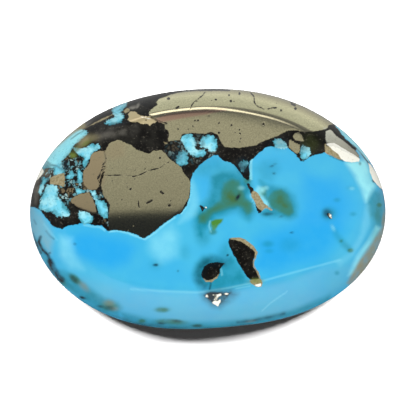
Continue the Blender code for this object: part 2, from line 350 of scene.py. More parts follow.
GREEN_SPOTS = (
    (75, 279, 7, 3.5, 42, 0.5), (109, 306, 8, 5, 10, 0.5), (162, 310, 7, 2.4, 0, 0.55),
    (172, 322, 15, 3, 3, 0.5), (142, 321, 4, 2, 0, 0.5), (197, 325.5, 5, 1.6, 0, 0.4),
    (379, 205, 3, 2.4, 0, 0.6), (376, 211, 7, 17, 0, 0.28), (375, 234, 3, 8, 20, 0.3),
    (350.5, 250.5, 2.8, 2, 0, 0.6), (341, 241, 2, 2, 0, 0.4), (247, 178, 4, 6, -10, 0.5),
    (62, 282, 6, 3, 45, 0.3), (213, 232, 4, 3, 0, 0.5), (263, 192, 4, 5, 20, 0.5),
)
LEAF_AREAS = {
    "leaf": (
        (211, 221.5, 215, 219.5, 223, 219, 222, 222, 218, 225.5, 215, 230.5, 212.5, 230,
         211, 226), 1.2, 1.0),
}
MOSS_SPOTS = (
    (72.5, 155, 3.6, 2.6, 20, 0.8), (86, 143, 5, 2, -30, 0.5), (76, 149, 3, 2.5, -40, 0.5),
    (255.5, 281, 7, 2.4, -3, 0.55), (310, 143, 8, 8, 30, 0.1),
)
DARK_AREAS = {
    "left vein foot": ((48, 257, 52, 262, 57, 272, 61, 280, 56, 279, 51, 270), 3, 0.6),
    "triangle halo": (
        (201, 294, 208, 291, 220, 290, 231, 290, 238, 294, 234, 299, 226, 303, 220, 308, 212, 306,
         204, 300), 5, 0.6),
    "triangle": (
        (202, 294.5, 210, 291.5, 222, 291.5, 232, 292.5, 227, 299, 218, 307, 210, 302), 2, 0.9),
}
DARK_LINES = {
    "round halo": ((224, 262, 212, 261, 205, 264, 200, 271, 199, 279, 204, 286), 1.5, 8, 0.6),
    "below the round": ((211, 281, 210.5, 285, 209.5, 289), 0.5, 1.5, 0.7),
    "left vein": ((40.5, 237, 38.8, 242, 42, 249, 48, 255, 51, 263), 1.0, 1.6, 0.95),
    "left vein low": ((50, 261, 53, 268, 58, 276, 62, 280), 2.2, 2.6, 0.85),
    "left vein branch": ((46, 254, 50, 253), 0.6, 1.2, 0.6),
    # Painted shade along the lower left rim.
    "left edge": ((32.5, 233, 35, 240, 38, 247, 41, 253), 0.6, 1.4, 0.8),
    "left edge low": ((47, 266, 52, 273, 58, 281), 0.8, 2.0, 0.6),
    "left streak": ((46, 231, 50, 236, 54, 239), 0.3, 1.2, 0.45),
    "left streak high": ((34, 220, 36, 224), 0.5, 1.2, 0.4),
    # Painted shade: darker along the foot, at the bottom edge.
    "foot": ((75, 299, 90, 308, 110, 317, 140, 325, 180, 330, 220, 330, 250, 326), 1.5, 3.5, 0.5),
    "lower right": ((238, 322.5, 252, 320.5, 270, 317, 284, 313.5), 0.6, 2.6, 0.5),
    "right outline": ((353, 145, 360, 152, 367, 161, 371, 167), 0.3, 1.0, 0.8),
    "right rim foot": ((375, 182, 380, 187, 384, 192, 385.5, 205), 0.3, 1.2, 0.7),
    "upper streak": ((71, 139, 77, 134.5, 85, 130), 0.3, 1.1, 0.5),
    "left streaks": ((46, 161, 51, 165, 57, 166, 62, 170), 0.5, 1.4, 0.6),
    "khaki foot": ((330, 155.5, 336, 158.5, 343, 161), 0.4, 0.8, 0.8),
}
DARK_SPOTS = (
    (327.5, 213.5, 4.5, 3.8, 40, 0.6), (155.5, 265, 2.4, 1.3, 0, 1.0),
    (237.8, 197.2, 1.6, 3.2, 30, 1.0), (272, 166, 2.0, 1.0, -20, 0.8), (275, 164, 2.0, 0.8, -10, 0.4),
    (274, 173.5, 1.4, 1.1, 0, 0.6), (75, 244, 1.6, 1.2, 0, 0.5), (178, 271, 1, 1, 0, 0.4),
    (291.8, 232.5, 1.2, 1, 0, 0.9), (227.6, 255.2, 1.1, 1, 0, 1.0), (74, 279, 5, 2.4, 42, 0.6),
    (82.5, 297.6, 3, 1.3, 20, 0.9), (101, 306.5, 4, 1.3, 5, 0.5), (109.5, 308, 4.5, 2.2, 10, 0.7),
    (197, 326, 5, 1.6, 0, 0.5), (268, 214, 5, 1.5, 0, 0.5), (47, 166, 4, 3, 30, 0.5),
    (65, 166, 3, 5, 0, 0.6), (162, 323.5, 4, 1.3, 0, 0.6), (281, 216.5, 1.6, 1.2, 0, 0.4),
    (360, 163.5, 1.2, 1.6, 0, 0.5), (374, 181, 2, 1.4, 30, 0.9), (179, 157, 6, 7, 0, 0.6),
    (179, 153, 4, 3, 0, 0.6), (196, 141, 2, 3, 0, 0.3), (203, 143, 2, 4, 0, 0.4),
    (243, 166, 6, 7, 0, 0.8), (279, 143, 9, 5, 0, 0.35), (303, 148, 5, 4, 0, 0.4),
    (116, 124, 9, 2, -8, 0.5), (177, 321, 4, 1.2, 4, 0.6),
)
TAN_SPOTS = (
    (84, 286.5, 6, 3, 42, 0.45), (109, 303, 5, 3, 0, 0.4), (384, 221, 2, 11, 8, 0.6),
    (251, 321, 5, 1.2, -8, 0.4), (84, 141, 8, 3.6, -38, 0.9), (91, 138, 7, 3.4, -10, 0.5),
    (79, 147, 5, 2.4, -40, 0.5), (114, 309, 4, 2, 0, 0.4),
)
TAN_AREAS = {
    "right rim": (
        (394, 222, 384, 224, 376, 236.5, 368, 248, 359.5, 260.5, 353, 272, 347, 283, 356, 292,
         378, 268), 2.2, 0.75),
    "upper left rim": (
        (42, 163, 50, 153.5, 60, 144.5, 68, 138, 76, 132, 86, 127.5, 84, 120, 60, 130,
         40, 150), 1.5, 0.8),
}
# Painted reflection: a pale grey sheen on the dark matrix, mostly on the upper left and the rim, where
# its polish reflects the light.
MATRIX_SHEEN_SPOTS = (
    (108, 132, 14, 6, -20, 0.28), (132.6, 107.4, 3.4, 1.4, -15, 1.0), (138, 105.3, 2.8, 1.3, -60, 1.0),
    (134, 130, 5, 5, 0, 0.25), (36.5, 190, 2.5, 12, 5, 0.4), (46, 172, 6, 5, 30, 0.5),
    (122, 130, 6, 5, 0, 0.25), (84, 127, 8, 1.2, -35, 0.6),
)
# Paler turquoise: partly its own paler tone, and partly painted highlight on the right shoulder, the
# right crease and the upper left shoulder, where they catch the light.
PALE_AND_SHEEN_AREAS = {
    "middle lobe edge": (
        (189, 206, 190, 192, 192, 180, 195, 186, 198, 200, 196, 214, 188, 220, 178, 224,
         184, 212), 4, 0.3),
    "right lobe foot": (
        (258, 186, 265, 188, 262, 194, 268, 204, 270, 208, 264, 206, 259, 198, 255, 190), 2, 0.5),
    # Painted highlight on the right shoulder.
    "right shoulder": (
        (346, 163, 360, 160, 366, 160, 371, 178, 375, 186, 369, 196, 366, 202, 362, 190,
         355, 176), 4, 0.95),
    "right strip": (
        (335, 119, 343, 122, 356, 136, 372, 158, 368, 162, 358, 150, 345, 137, 336, 127), 2, 0.9),
    # Painted highlight along the right crease.
    "right crease": (
        (366, 200, 370, 206, 370, 224, 362, 242, 354, 256, 340, 266, 336, 262, 350, 252, 360, 234,
         364, 214), 3, 0.2),
    "inside the tan": (
        (376, 226, 381, 228, 372, 244, 362, 258, 354, 274, 348, 276, 356, 256, 368, 240), 2.5, 0.5),
    # Painted highlight on the upper left shoulder.
    "upper shoulder": (
        (38, 160, 50, 144, 62, 134, 76, 126, 90, 128, 76, 145, 64, 158, 50, 168), 4, 0.9),
    "left shoulder": ((60, 236, 72, 238, 74, 254, 84, 270, 70, 268, 60, 256), 5, 0.35),
    "under pyrite": ((150, 238, 160, 232, 172, 226, 178, 236, 176, 256, 160, 262, 150, 250), 8, 0.35),
}
# Painted highlights: thin pale lines along the edges of the bodies.
EDGE_HIGHLIGHT_LINES = {
    "right lobe edge": ((252.5, 157, 250.8, 163, 250.6, 172, 251, 179), 0.5, 1.3, 0.9),
    "bay edge": (
        (110, 231.5, 118, 230.8, 128, 233, 137, 236.5, 145, 239.5, 155, 233, 166, 223.5,
         175, 217.5), 0.4, 1.4, 0.6),
    "bay edge left": ((84, 225, 92, 226.5, 100, 227, 105, 230.5), 0.4, 1.4, 0.5),
    "middle edge": ((181, 214, 187, 206, 190.5, 196, 191, 184), 0.3, 1.4, 0.6),
    "stem edge": ((250, 195, 254, 203, 257, 208), 0.2, 1.0, 0.5),
    "leaf edge": ((210, 221, 209, 226, 211, 232), 0.3, 1.0, 0.45),
    "round notch": ((220.5, 268, 221.5, 271, 222, 275), 0.4, 1.2, 0.4),
}
PALE_SPOTS = (
    (262, 190, 3, 3, 40, 0.6), (266, 203, 1.6, 4, -30, 0.8), (241, 188, 3, 2, 0, 0.35),
    (333, 228, 1.3, 3.4, -25, 0.4), (266, 188, 2.4, 2, 0, 0.5), (352, 188.5, 2.4, 1.6, 0, 0.4),
)
# Painted reflection: a grey-blue sheen on the left and south shoulders and a strip on the upper right,
# where the polish reflects the bright surroundings.
SHOULDER_SHEEN_AREAS = {
    "left shoulder": (
        (30, 204, 40, 213, 46, 222, 52, 232, 53, 242, 50, 254, 45, 250, 38, 240, 30, 232), 5, 0.8),
    "right strip": ((352, 144, 362, 152, 370, 163, 366, 164, 359, 158, 354, 151), 2, 0.45),
    "south shoulder": (
        (72, 272, 100, 283, 131, 291, 199, 295, 228, 291, 264, 283, 310, 271, 345, 264, 368, 256,
         352, 284, 300, 311, 240, 322, 180, 322, 120, 308, 92, 294), 6, 0.2),
}
DEEP_AREAS = {
    "left": (
        (66, 240, 84, 232, 106, 236, 126, 240, 133, 248, 128, 262, 112, 268, 94, 264,
         78, 256), 9, 0.95),
    "right": (
        (306, 176, 338, 180, 350, 205, 344, 232, 326, 256, 300, 266, 270, 274, 252, 270, 256, 240,
         286, 228, 304, 208), 12, 0.9),
    "middle": ((196, 178, 208, 172, 214, 184, 210, 198, 200, 200), 7, 0.5),
}
BROWN_AREAS = {
    "left lobes": (
        (80, 150, 106, 148, 104, 180, 98, 192, 98, 212, 88, 214, 66, 206, 66, 190, 80, 186), 4, 1.0),
    "gold right": ((142, 119, 150, 121, 158, 121, 151, 128, 147, 125, 141, 124), 1.5, 0.55),
    "patch top": ((106, 146, 116, 140, 126, 144, 124, 156, 112, 160, 104, 156), 4, 0.5),
}
# Painted reflection: the reddish dark band that the polished pyrite reflects just below the bright line
# on the crease.
REFLECTED_BAND_AREAS = {
    "dark band": (
        (152, 120, 160, 116.5, 170, 113.8, 184, 111.8, 204, 110, 226, 110, 208, 114, 190, 117, 173, 120,
         160, 123), 1.5, 1.0),
}
# The gold piece: its own gold colour, painted lighter for its shine.
GOLD_AREAS = {
    "gold": ((126, 110, 137, 110, 149, 116, 158, 121, 151, 128, 134, 125, 126, 122), 1, 1.0),
}
SILVER_AREAS = {
    "grey wedge": ((324, 128, 333, 128, 346, 140, 364, 160, 350, 154, 336, 145, 324, 146), 2, 1.0),
}

# Broken ground, where small grains of turquoise and brown rock lie in the matrix.
BROKEN_AREAS = {
    "upper": (
        (60, 160, 70, 156, 82, 160, 90, 164, 84, 172, 83, 186, 90, 192, 80, 196, 72, 200, 66, 206,
         59, 197, 58, 187, 64, 179, 63, 170), 2.5, 1.0),
    "left": ((39, 168, 48, 164, 58, 170, 57, 178, 48, 181, 40, 178), 2.5, 0.9),
    "right of filament": (
        (96, 192, 102, 194, 108, 203, 112, 211, 110, 226, 107, 232, 103, 222, 98, 212), 2, 0.8),
    "lobes": (
        (168, 140, 182, 136, 206, 134, 220, 140, 214, 160, 190, 164, 176, 162, 166, 150), 3, 0.22),
}

# Faint bright lines: along the foot of the table a painted highlight where the crease catches
# the light, and elsewhere scratches.
SCRATCH_AND_HIGHLIGHT_LINES = {
    "south": (
        # Painted highlight along the foot of the table.
        (131, 289, 160, 291, 199, 292.5, 228, 288, 264, 280.5, 310, 268, 340, 260), 0.4, 1.6, 0.5),
    "south scratch": ((262, 311, 270, 303.5, 279, 297, 287, 291.8), 0.2, 1.0, 0.5),
    "low scratch": ((236, 288.5, 250, 286), 0.3, 1.0, 0.5),
    "left scratch": ((44, 224, 50, 232, 57, 240), 0.3, 1.6, 0.35),
}

# Every kind of marking with a hard edge, and every kind of soft mark, stains and painted light
# and shade alike, by its attribute's name.
BODIES = {
    "matrix": MATRIX_AND_DARK_PYRITE_AREAS,
    "cyan": CYAN_AREAS,
    "pyrite": PYRITE_AREAS,
    "rock": ROCK_AND_GLINT_AREAS,
    "cream": CREAM_AND_GLINT_AREAS,
}
# Stains, and the painted highlights, reflections and shade, each with its kinds of shape.
SOFT_MARKS = {
    "scratches_and_highlight": {"lines": SCRATCH_AND_HIGHLIGHT_LINES},
    "teal": {"areas": TEAL_AREAS, "spots": TEAL_SPOTS},
    "green": {"areas": GREEN_AREAS, "spots": GREEN_SPOTS},
    "leaf": {"areas": LEAF_AREAS},
    "dark": {"areas": DARK_AREAS, "lines": DARK_LINES, "spots": DARK_SPOTS},
    "moss": {"spots": MOSS_SPOTS},
    "tan": {"areas": TAN_AREAS, "spots": TAN_SPOTS},
    "matrix_sheen": {"spots": MATRIX_SHEEN_SPOTS},
    "pale_and_sheen": {"areas": PALE_AND_SHEEN_AREAS, "lines": EDGE_HIGHLIGHT_LINES, "spots": PALE_SPOTS},
    "grey": {"areas": SHOULDER_SHEEN_AREAS},
    "deep": {"areas": DEEP_AREAS},
    "brown": {"areas": BROWN_AREAS},
    "red": {"areas": REFLECTED_BAND_AREAS},
    "gold": {"areas": GOLD_AREAS},
    "silver": {"areas": SILVER_AREAS},
    "broken": {"areas": BROKEN_AREAS},
}

# A spot fades outwards as exp(-fall * distance ** power), with its edge at a distance of one.
SPOT_FALL = 0.7
SPOT_POWER = 3.0


def unit(x, y):
    """The direction of (x, y) with length one."""
    length = np.hypot(x, y)
    return x / length, y / length


def raw_outline(angle):
    """The girdle's points at these angles, before they are scaled to size."""
    ellipse = 1.0 / np.hypot(np.cos(angle) / (LENGTH / 2), np.sin(angle) / (WIDTH / 2))
    waves = sum(c * np.cos(n * angle) + s * np.sin(n * angle) for n, c, s in OVAL_WAVES)
    radius = ellipse * (1.0 + waves)
    return radius * np.cos(angle), radius * np.sin(angle)


RAW_X, RAW_Y = raw_outline(np.linspace(0.0, math.tau, AROUND, endpoint=False))


def outline(angle):
    """The girdle's points at these angles, inside its bulge."""
    x, y = raw_outline(angle)
    share_x = (x - RAW_X.min()) / (RAW_X.max() - RAW_X.min())
    share_y = (y - RAW_Y.min()) / (RAW_Y.max() - RAW_Y.min())
    return (LENGTH / 2 - GIRDLE_BULGE) * (2 * share_x - 1), (WIDTH / 2 - GIRDLE_BULGE) * (2 * share_y - 1)


def inward(angle):
    """The unit direction that points into the stone at these angles."""
    step = math.tau / AROUND
    after_x, after_y = outline(angle + step)
    before_x, before_y = outline(angle - step)
    along_x, along_y = unit(after_x - before_x, after_y - before_y)
    return -along_y, along_x


def shoulder_width(inward_x, inward_y):
    """The shoulder's width for an inward direction, blended from the four sides."""
    width_x = np.where(inward_x < 0, SHOULDER_WIDTH_EAST, SHOULDER_WIDTH_WEST)
    width_y = np.where(inward_y < 0, SHOULDER_WIDTH_NORTH, SHOULDER_WIDTH_SOUTH)
    return width_x * inward_x**2 + width_y * inward_y**2


def inset_points(angle, inset, height):
    """Points on the outline moved inwards by inset, at a height."""
    x, y = outline(angle)
    inward_x, inward_y = inward(angle)
    height = np.broadcast_to(height, x.shape)
    return np.stack((x + inward_x * inset, y + inward_y * inset, height), axis=-1)


def table_edge(angle, width):
    """Where the crease meets the table's dome: its points and height, and the crease's two slopes."""
    edge = inset_points(angle, width + CREASE_WIDTH, 0.0)
    radius = np.hypot(edge[:, 0], edge[:, 1])
    start = math.tan(SHOULDER_TOP_ANGLE) * (SHOULDER_RISE / width) * (ARC_ACROSS / ARC_UP)
    lean = CREASE_WIDTH / radius
    height = (SHOULDER_TOP + CREASE_WIDTH * start / 2 + HEIGHT * lean) / (1 + lean)
    return edge, height, start, 2 * (HEIGHT - height) / radius


def crown_points(ring, angle):
    """The crown's points: the table's dome, then the crease, then the shoulder down to the girdle."""
    width = shoulder_width(*inward(angle))
    edge, edge_height, start, end = table_edge(angle, width)
    share = np.clip(ring / TABLE_RINGS, 0.0, 1.0)[:, None]
    dome_height = HEIGHT - (HEIGHT - edge_height) * share[:, 0] ** 2
    dome = np.concatenate((edge[:, :2] * share, dome_height[:, None]), axis=1)
    over = 1 - (ring - TABLE_RINGS) / CREASE_RINGS
    crease_height = SHOULDER_TOP + CREASE_WIDTH * (start * over + (end - start) * over**2 / 2)
    crease = inset_points(angle, width + CREASE_WIDTH * over, crease_height)
    up = 1 - (ring - TABLE_RINGS - CREASE_RINGS) / SHOULDER_RINGS
    slope = SHOULDER_FOOT_ANGLE + (SHOULDER_TOP_ANGLE - SHOULDER_FOOT_ANGLE) * up
    across = (math.sin(SHOULDER_FOOT_ANGLE) - np.sin(slope)) / ARC_ACROSS
    rise = (np.cos(slope) - math.cos(SHOULDER_FOOT_ANGLE)) / ARC_UP
    shoulder = inset_points(angle, width * across, GIRDLE_TOP + SHOULDER_RISE * rise)
    on_table = (ring <= TABLE_RINGS)[:, None]
    on_crease = (ring <= TABLE_RINGS + CREASE_RINGS)[:, None]
    return np.where(on_table, dome, np.where(on_crease, crease, shoulder))


def square_grid(rings):
    """A square of grid points about a middle one: each point's ring, and its angle around."""
    across, up = np.meshgrid(np.arange(-rings, rings + 1), np.arange(-rings, rings + 1), indexing="ij")
    across, up = across.ravel().astype(float), up.ravel().astype(float)
    ring = np.maximum(np.abs(across), np.abs(up))
    safe = np.maximum(ring, 1.0)
    eighth = math.pi / 4
    side = np.abs(across) >= np.abs(up)
    east_west = np.where(across >= 0, eighth * up / safe, math.pi - eighth * up / safe)
    from_north = eighth * across / safe
    north_south = np.where(up >= 0, 2 * eighth - from_north, 6 * eighth + from_north)
    return ring, np.where(side, east_west, north_south)


def grid_faces(rings):
    """The four-sided faces between a square grid's points, counterclockwise from above."""
    side = 2 * rings + 1
    first = (np.arange(side - 1)[:, None] * side + np.arange(side - 1)[None, :]).ravel()
    return np.stack((first, first + side, first + side + 1, first + 1), axis=1)


def grid_rim(rings):
    """The grid's outermost points in order round it, from the middle of its east side."""
    side = 2 * rings + 1
    steps = np.arange(-rings, rings)
    east = [(rings, j) for j in steps]
    north = [(-i, rings) for i in steps]
    west = [(-rings, -j) for j in steps]
    south = [(i, -rings) for i in steps]
    order = east + north + west + south
    order = order[rings:] + order[:rings]
    return np.array([(i + rings) * side + j + rings for i, j in order])


def band_faces(lower, upper):
    """Four-sided faces between two rings of as many points, facing out when upper is the higher."""
    return np.stack((lower, np.roll(lower, -1), np.roll(upper, -1), upper), axis=1)


def side_levels():
    """The inset and the height of each ring between the girdle's top and the back's edge, downwards."""
    levels = []
    for i in range(1, GIRDLE_RINGS + 1):
        share = i / GIRDLE_RINGS
        levels.append((-GIRDLE_BULGE * math.sin(math.pi * share), GIRDLE_TOP - GIRDLE_HEIGHT * share))
    for i in range(1, BEVEL_RINGS + 1):
        share = i / BEVEL_RINGS
        levels.append((BACK_INSET * share, BACK_BEVEL_HEIGHT * (1 - share)))
    return levels


def stone_surface():
    """The closed surface's points, and its faces as lists of point numbers."""
    ring, angle = square_grid(CROWN_RINGS)
    points = [crown_points(ring, angle)]
    faces = grid_faces(CROWN_RINGS).tolist()
    last = grid_rim(CROWN_RINGS)
    count = len(ring)
    around = np.linspace(0.0, math.tau, AROUND, endpoint=False)
    for inset, height in side_levels():
        points.append(inset_points(around, inset, height))
        level = np.arange(count, count + AROUND)
        faces.extend(band_faces(level, last).tolist())
        last = level
        count += AROUND
    ring, angle = square_grid(BACK_RINGS)
    edge = inset_points(angle, BACK_INSET, 0.0)
    share = (ring / (BACK_RINGS + 1))[:, None]
    points.append(edge * share)
    faces.extend((grid_faces(BACK_RINGS)[:, ::-1] + count).tolist())
    inner = grid_rim(BACK_RINGS) + count
    following = np.roll(inner, -1)
    first, second, third = last[0::2], last[1::2], np.roll(last[0::2], -1)
    faces.extend(np.stack((first, inner, second), axis=1).tolist())
    faces.extend(np.stack((second, inner, following), axis=1).tolist())
    faces.extend(np.stack((second, following, third), axis=1).tolist())
    return np.concatenate(points), faces


def photo_places(points):
    """Where each point of the surface lies in the photograph's frame, in pixels."""
    from_camera = points - np.array(CAMERA_PLACE)
    depth = -from_camera @ np.array(CAMERA_BACK)
    scale = FRAME_PIXELS * CAMERA_LENS / CAMERA_SENSOR
    x = FRAME_PIXELS / 2 + scale * from_camera[:, 0] / depth
    y = FRAME_PIXELS / 2 - scale * (from_camera @ np.array(CAMERA_UP)) / depth
    return np.stack((x, y), axis=1)


def bent_below(points, places):
    """The places, with those below the girdle drifting as far as the minerals bend on the way down."""
    noise.seed_set(UNDERSIDE_SEED)
    share = np.clip((GIRDLE_TOP - points[:, 2]) / GIRDLE_TOP, 0.0, 1.0)
    bend = np.zeros_like(places)
    for i in np.flatnonzero(share > 0):
        drift = noise.noise_vector(Vector(points[i]) / UNDERSIDE_BEND_SIZE)
        bend[i] = drift[0], drift[1]
    return places + bend * (UNDERSIDE_BEND * share)[:, None]


def to_segment(places, start, end):
    """How far each place is from the straight line between two places, squared."""
    start, end = np.array(start, float), np.array(end, float)
    along = end - start
    length = max(float(along @ along), 1e-9)
    share = np.clip((places - start) @ along / length, 0.0, 1.0)
    offset = places - start - share[:, None] * along
    return np.einsum("ij,ij->i", offset, offset)


def in_pairs(row):
    """The places in a row of coordinates that gives x and y in turn."""
    return list(zip(row[::2], row[1::2]))


def inside_area(places, row):
    """How far each place is inside a closed outline, in pixels: negative outside it."""
    corners = in_pairs(row)
    nearest = np.full(len(places), np.inf)
    inside = np.zeros(len(places), bool)
    x, y = places[:, 0], places[:, 1]
    for start, end in zip(corners, corners[1:] + corners[:1]):
        nearest = np.minimum(nearest, to_segment(places, start, end))
        if start[1] != end[1]:
            level = (start[1] > y) != (end[1] > y)
            crossing = start[0] + (y - start[1]) * (end[0] - start[0]) / (end[1] - start[1])
            inside ^= level & (x < crossing)
    return np.sqrt(nearest) * np.where(inside, 1.0, -1.0)


def inside_line(places, row, half_width):
    """How far each place is inside a line of this half width, in pixels: negative outside it."""
    points = in_pairs(row)
    nearest = [to_segment(places, start, end) for start, end in zip(points, points[1:])]
    return half_width - np.sqrt(np.minimum.reduce(nearest))


def inside_areas(places, areas):
    """How far each place is inside the nearest of several outlines."""
    return np.maximum.reduce([inside_area(places, row) for row in areas.values()])


def inside_lines(places, lines):
    """How far each place is inside the nearest of several lines."""
    return np.maximum.reduce([inside_line(places, *line) for line in lines.values()])


def inside_pits(places):
    """How far each place is inside the nearest pit."""
    return np.maximum.reduce([r - np.hypot(places[:, 0] - x, places[:, 1] - y) for x, y, r in PITS])


def ramp(value, low, high):
    """0 below low, 1 above high, and a smooth step between."""
    share = np.clip((value - low) / (high - low), 0.0, 1.0)
    return share * share * (3 - 2 * share)


def softly_marked(places, areas=None, lines=None, spots=()):
    """How strongly each place is marked by soft areas, lines and spots, from 0 to 1."""
    strongest = np.zeros(len(places))
    for row, softness, strength in (areas or {}).values():
        inside = inside_area(places, row)
        strongest = np.maximum(strongest, strength * ramp(inside, -softness, softness))
    for row, half_width, softness, strength in (lines or {}).values():
        inside = inside_line(places, row, half_width)
        strongest = np.maximum(strongest, strength * ramp(inside, -softness, softness / 2))
    for x, y, half_length, half_width, turn, strength in spots:
        dx, dy = places[:, 0] - x, places[:, 1] - y
        c, s = math.cos(math.radians(turn)), math.sin(math.radians(turn))
        away = np.hypot((c * dx + s * dy) / half_length, (c * dy - s * dx) / half_width)
        strongest = np.maximum(strongest, strength * np.exp(-SPOT_FALL * away**SPOT_POWER))
    return strongest


def surface_fields(points):
    """The surface's attributes: distances inside a marking in millimetres, and soft marks from 0 to 1."""
    places = bent_below(points, photo_places(points))
    fields = {name: inside_areas(places, areas) * PIXEL_MM for name, areas in BODIES.items()}
    fields["gap"] = np.maximum(inside_lines(places, CRACKS_AND_DARK_RIM), inside_pits(places)) * PIXEL_MM
    fields.update((name, softly_marked(places, **parts)) for name, parts in SOFT_MARKS.items())
    return fields


# How deep the surface is sunk in gaps and on the matrix, and the angle that counts as sharp.
GAP_DEPTH = 0.008 * MM
MATRIX_DEPTH = 0.006 * MM
SHARP_FROM = math.radians(35)


def relief(fields):
    """How deep each point is sunk: the soft matrix a little, and pits and cracks more."""
    pyrite = ramp(np.maximum(fields["pyrite"], fields["cream"]), -PIXEL_MM, PIXEL_MM)
    matrix = ramp(fields["matrix"], -PIXEL_MM, PIXEL_MM) * (1 - pyrite)
    gap = ramp(fields["gap"], -PIXEL_MM, PIXEL_MM)
    return MATRIX_DEPTH * matrix + GAP_DEPTH * gap


def build_stone():
    """The stone as one closed mesh that carries its markings."""
    points, faces = stone_surface()
    mesh = bpy.data.meshes.new("cabochon")
    mesh.from_pydata(points.tolist(), [], faces)
    mesh.update()
    fields = surface_fields(points)
    normals = np.zeros(len(points) * 3, np.float32)
    mesh.vertex_normals.foreach_get("vector", normals)
    sunk = points - normals.reshape(-1, 3) * relief(fields)[:, None]
    mesh.vertices.foreach_set("co", sunk.astype(np.float32).ravel())
    for name, values in fields.items():
        attribute = mesh.attributes.new(name, "FLOAT", "POINT")
        attribute.data.foreach_set("value", values.astype(np.float32))
    mesh.update()
    mesh.shade_smooth()
    mesh.set_sharp_from_angle(angle=SHARP_FROM)
    stone = bpy.data.objects.new("cabochon", mesh)
    stone.visible_diffuse = False
    bpy.context.scene.collection.objects.link(stone)
    return stone


def srgb(red, green, blue):
    """A colour from its values on a screen, 0 to 255, as the linear colour that shaders take."""
    def linear(value):
        value /= 255
        return value / 12.92 if value <= 0.04045 else ((value + 0.055) / 1.055) ** 2.4
    return linear(red), linear(green), linear(blue), 1.0


class Painter:
    """Adds nodes to a tree and joins them. A socket is given a value or another socket."""

    def __init__(self, tree):
        self.tree = tree

    def add(self, kind, sockets=None, **settings):
        node = self.tree.nodes.new(kind)
        for name, value in settings.items():
            setattr(node, name, value)
        for name, value in (sockets or {}).items():
            if isinstance(value, bpy.types.NodeSocket):
                self.tree.links.new(value, node.inputs[name])
            else:
                node.inputs[name].default_value = value
        return node

    def field(self, name):
        return self.add("ShaderNodeAttribute", attribute_name=name).outputs["Fac"]

    def math(self, operation, first, second=0.0):
        return self.add("ShaderNodeMath", {0: first, 1: second}, operation=operation).outputs[0]

    def product(self, first, second):
        return self.math("MULTIPLY", first, second)

    def total(self, first, second):
        return self.math("ADD", first, second)

    def most(self, first, second):
        return self.math("MAXIMUM", first, second)

    def least(self, first, second):
        return self.math("MINIMUM", first, second)

    def mix(self, share, first, second):
        sockets = {"Factor": share, 6: first, 7: second}
        return self.add("ShaderNodeMix", sockets, data_type="RGBA").outputs[2]

    def grey(self, level):
        """A colour as bright as level in all three parts."""
        sockets = {"Red": level, "Green": level, "Blue": level}
        return self.add("ShaderNodeCombineColor", sockets).outputs[0]

    def between(self, value, low, high, to_low=0.0, to_high=1.0):
        sockets = {"Value": value, "From Min": low, "From Max": high, "To Min": to_low, "To Max": to_high}
        node = self.add("ShaderNodeMapRange", sockets, interpolation_type="SMOOTHSTEP")
        return node.outputs["Result"]

    def noise(self, place, size, detail, roughness, shift):
        """Noise from about 0.25 to 0.75, with features of this size, taken from a place of its own."""
        moved = self.add("ShaderNodeVectorMath", {0: place, 1: (shift, shift * 0.7, shift * 1.3)})
        moved = moved.outputs[0]
        sockets = {"Vector": moved, "Scale": 1 / size, "Detail": detail, "Roughness": roughness}
        return self.add("ShaderNodeTexNoise", sockets).outputs["Fac"]

    def cells(self, place, size, feature):
        """A pattern of grains of this size in metres."""
        sockets = {"Vector": place, "Scale": 1 / size}
        return self.add("ShaderNodeTexVoronoi", sockets, feature=feature)


# How brightly the table is lit, against a matt white floor that just reaches white.
TABLE_LIGHT = 1.36


def pigment(red, green, blue):
    """The paint that looks like this colour on the stone's table."""
    *linear, alpha = srgb(red, green, blue)
    return (*(value / TABLE_LIGHT for value in linear), alpha)


BLUE = pigment(66, 182, 229)
BLUE_LIGHT = pigment(75, 188, 228)
DEEP_BLUE = pigment(44, 171, 235)
TEAL = pigment(30, 140, 164)
GREEN = pigment(52, 126, 112)
OLIVE = pigment(64, 108, 62)
LEAF_GREEN = pigment(78, 138, 56)
MOSS = pigment(112, 128, 58)
DARK = pigment(14, 36, 46)
TAN = pigment(148, 140, 104)
# The grey of painted reflection on the matrix.
MATRIX_SHEEN = pigment(130, 127, 118)
# Pale turquoise, also the colour of painted highlights.
PALE_AND_HIGHLIGHT = pigment(160, 244, 255)
# The grey-blue of painted reflection on the shoulders.
SHOULDER_SHEEN_BLUE = pigment(124, 182, 202)
CYAN = pigment(118, 214, 238)
CYAN_WHITE = pigment(164, 234, 246)
CYAN_SHADE = pigment(78, 160, 176)
MATRIX = pigment(14, 13, 11)
MATRIX_LIGHT = pigment(34, 33, 29)
MATRIX_FLECK = pigment(98, 94, 84)
GRAIN_TEAL = pigment(98, 148, 156)
GRAIN_BROWN = pigment(112, 100, 76)
GRAIN_PALE = pigment(156, 190, 190)
ROCK = pigment(172, 161, 127)
ROCK_SHADE = pigment(146, 134, 100)
PYRITE = (0.56, 0.52, 0.32, 1.0)
PYRITE_SHADE = (0.44, 0.41, 0.25, 1.0)
PYRITE_SPECK = (0.28, 0.26, 0.17, 1.0)
PYRITE_BROWN = (0.51, 0.405, 0.24, 1.0)
# The reddish dark of painted reflection in the pyrite.
PYRITE_REFLECTED_RED = (0.50, 0.33, 0.23, 1.0)
PYRITE_SILVER = (0.56, 0.55, 0.45, 1.0)
# The cream of pale pyrite, also of painted highlights.
CREAM = (0.80, 0.79, 0.70, 1.0)
CREAM_SHADE = pigment(196, 186, 152)
# Lighter gold, painted for the gold piece's shine.
GOLD = pigment(198, 182, 140)
GAP_COLOUR = pigment(30, 28, 22)

